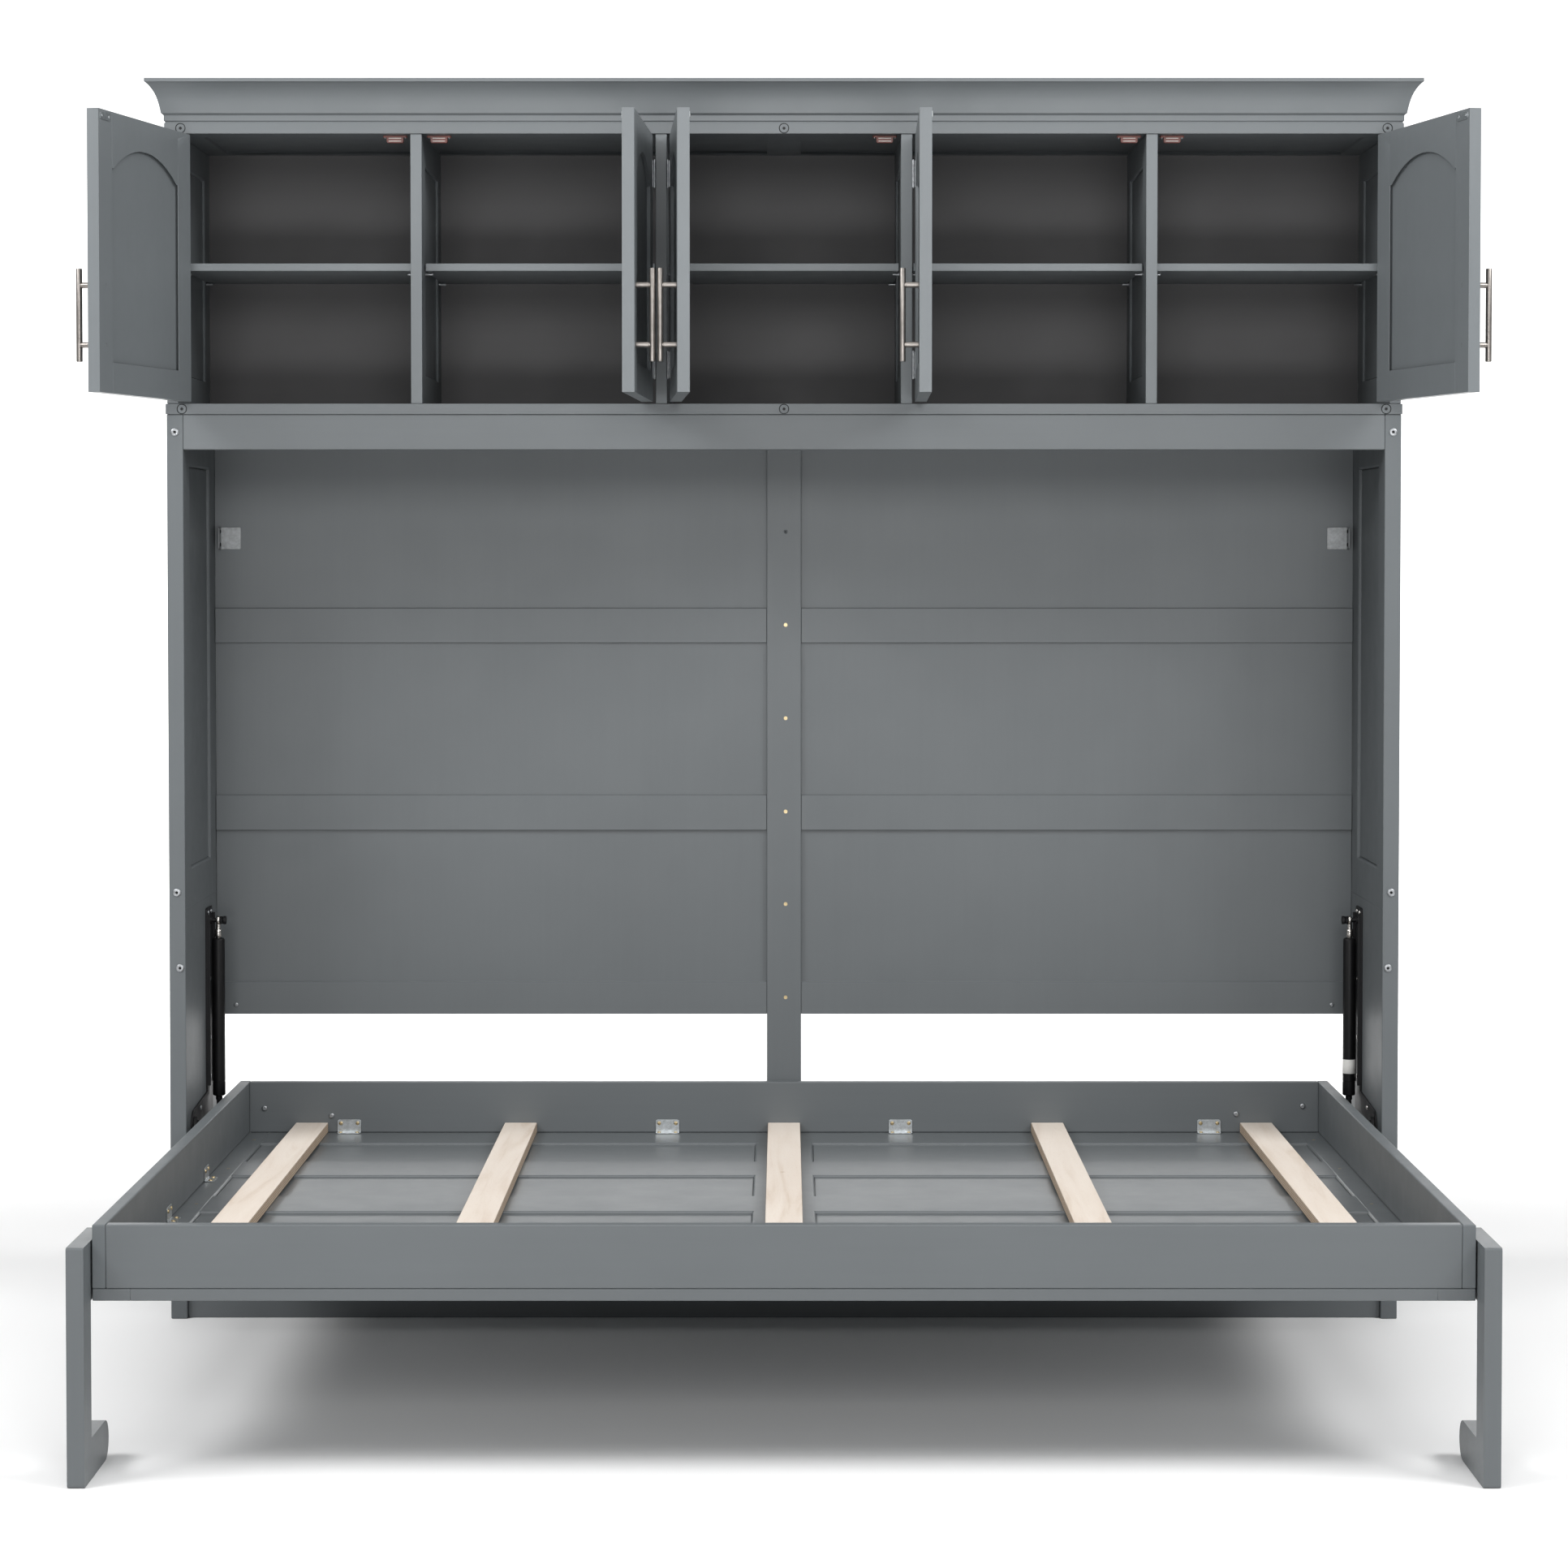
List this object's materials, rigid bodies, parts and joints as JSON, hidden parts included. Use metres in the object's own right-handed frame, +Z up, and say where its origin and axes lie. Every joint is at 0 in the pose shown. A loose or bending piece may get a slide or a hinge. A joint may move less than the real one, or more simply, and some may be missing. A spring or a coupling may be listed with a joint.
{
  "type": "murphy wall bed",
  "caption": "Side-tilting full-size wall bed: a bed frame with slats folds up on gas struts into a cabinet under a hutch with framed doors and a crown moulding.",
  "frame": {"origin": "middle of the footprint on the floor, with the bed lowered and the doors open as stored", "axes": "+X to the right when facing the front, +Y towards the wall, +Z up"},
  "size_m": [2.2824, 1.5096, 2.125],
  "materials": {
    "painted_wood": "satin grey paint",
    "slat_wood": "bare birch plywood",
    "black_steel": "semi-gloss black",
    "brushed_nickel": "brushed",
    "hinge_steel": "bright zinc",
    "rod_chrome": "polished"
  },
  "bodies": {
    "cabinet": {"side_panel_left": "painted_wood", "side_panel_right": "painted_wood", "header_rail": "painted_wood", "base_rail": "painted_wood", "centre_back_stile": "painted_wood", "lower_back_panel": "painted_wood", "hutch_floor_panel": "painted_wood", "hutch_side_left": "painted_wood", "hutch_side_right": "painted_wood", "hutch_divider_1": "painted_wood", "hutch_divider_2": "painted_wood", "hutch_divider_3": "painted_wood", "hutch_divider_4": "painted_wood", "hutch_back_panel": "painted_wood", "shelf_1": "painted_wood", "shelf_2": "painted_wood", "shelf_3": "painted_wood", "shelf_4": "painted_wood", "shelf_5": "painted_wood", "hutch_top_with_crown": "painted_wood", "strut_bracket_left": "black_steel", "strut_bracket_right": "black_steel"},
    "bed": {"bed_rail_front": "painted_wood", "bed_rail_back": "painted_wood", "bed_rail_left": "painted_wood", "bed_rail_right": "painted_wood", "bed_base_panel": "painted_wood", "slat_1": "slat_wood", "slat_2": "slat_wood", "slat_3": "slat_wood", "slat_4": "slat_wood", "slat_5": "slat_wood", "bed_arm_left": "black_steel", "bed_arm_right": "black_steel"},
    "leg_left": {"leg_left": "painted_wood"},
    "strut_left_rod": {"strut_rod_left": "rod_chrome"},
    "strut_left_cylinder": {"strut_cylinder_left": "black_steel"},
    "leg_right": {"leg_right": "painted_wood"},
    "strut_right_rod": {"strut_rod_right": "rod_chrome"},
    "strut_right_cylinder": {"strut_cylinder_right": "black_steel"},
    "door_1": {"door_1": "painted_wood", "door_pull_1": "brushed_nickel", "door_1_hinge_lower": "hinge_steel", "door_1_hinge_upper": "hinge_steel"},
    "door_2": {"door_2": "painted_wood", "door_pull_2": "brushed_nickel", "door_2_hinge_lower": "hinge_steel", "door_2_hinge_upper": "hinge_steel"},
    "door_3": {"door_3": "painted_wood", "door_pull_3": "brushed_nickel", "door_3_hinge_lower": "hinge_steel", "door_3_hinge_upper": "hinge_steel"},
    "door_4": {"door_4": "painted_wood", "door_pull_4": "brushed_nickel", "door_4_hinge_lower": "hinge_steel", "door_4_hinge_upper": "hinge_steel"},
    "door_5": {"door_5": "painted_wood", "door_pull_5": "brushed_nickel", "door_5_hinge_lower": "hinge_steel", "door_5_hinge_upper": "hinge_steel"}
  },
  "joints": [
    {"name": "bed_fold", "type": "hinge", "parent": "cabinet", "child": "bed", "pos_m": [0, 0.46625, 0.325], "axis": [-1, 0, 0], "range_deg": [0, 90]},
    {"name": "leg_left_swing", "type": "hinge", "parent": "bed", "child": "leg_left", "pos_m": [-0.999, -0.64325, 0.3], "axis": [-1, 0, 0], "range_deg": [-90, 0]},
    {"name": "strut_left_swing", "type": "hinge", "parent": "cabinet", "child": "strut_left_rod", "pos_m": [-1.0095, 0.64375, 0.664], "axis": [-1, 0, 0], "range_deg": [0, 20]},
    {"name": "strut_left_extend", "type": "slide", "parent": "strut_left_rod", "child": "strut_left_cylinder", "axis": [0, 0, -1], "range_m": [0, 0.205]},
    {"name": "leg_right_swing", "type": "hinge", "parent": "bed", "child": "leg_right", "pos_m": [0.999, -0.64325, 0.3], "axis": [-1, 0, 0], "range_deg": [-90, 0]},
    {"name": "strut_right_swing", "type": "hinge", "parent": "cabinet", "child": "strut_right_rod", "pos_m": [1.0095, 0.64375, 0.664], "axis": [-1, 0, 0], "range_deg": [0, 20]},
    {"name": "strut_right_extend", "type": "slide", "parent": "strut_right_rod", "child": "strut_right_cylinder", "axis": [0, 0, -1], "range_m": [0, 0.205]},
    {"name": "door_1_swing", "type": "hinge", "parent": "cabinet", "child": "door_1", "pos_m": [-1.034, 0.39375, 1.804], "axis": [0, 0, -1], "range_deg": [-102.5, 7.5]},
    {"name": "door_2_swing", "type": "hinge", "parent": "cabinet", "child": "door_2", "pos_m": [-0.22075, 0.39375, 1.804], "axis": [0, 0, 1], "range_deg": [-87.7, 0]},
    {"name": "door_3_swing", "type": "hinge", "parent": "cabinet", "child": "door_3", "pos_m": [-0.19825, 0.39375, 1.804], "axis": [0, 0, -1], "range_deg": [-86.45, 0]},
    {"name": "door_4_swing", "type": "hinge", "parent": "cabinet", "child": "door_4", "pos_m": [0.22075, 0.39375, 1.804], "axis": [0, 0, -1], "range_deg": [-91, 9]},
    {"name": "door_5_swing", "type": "hinge", "parent": "cabinet", "child": "door_5", "pos_m": [1.034, 0.39375, 1.804], "axis": [0, 0, 1], "range_deg": [-102.5, 7.5]}
  ],
  "couplings": [
    {"joint": "leg_left_swing", "follows": "bed_fold", "ratio": -1},
    {"joint": "strut_left_swing", "follows": "bed_fold", "ratio": 0.21623},
    {"joint": "strut_left_extend", "follows": "bed_fold", "m_per_rad": 0.12974},
    {"joint": "leg_right_swing", "follows": "bed_fold", "ratio": -1},
    {"joint": "strut_right_swing", "follows": "bed_fold", "ratio": 0.21623},
    {"joint": "strut_right_extend", "follows": "bed_fold", "m_per_rad": 0.12974}
  ]
}
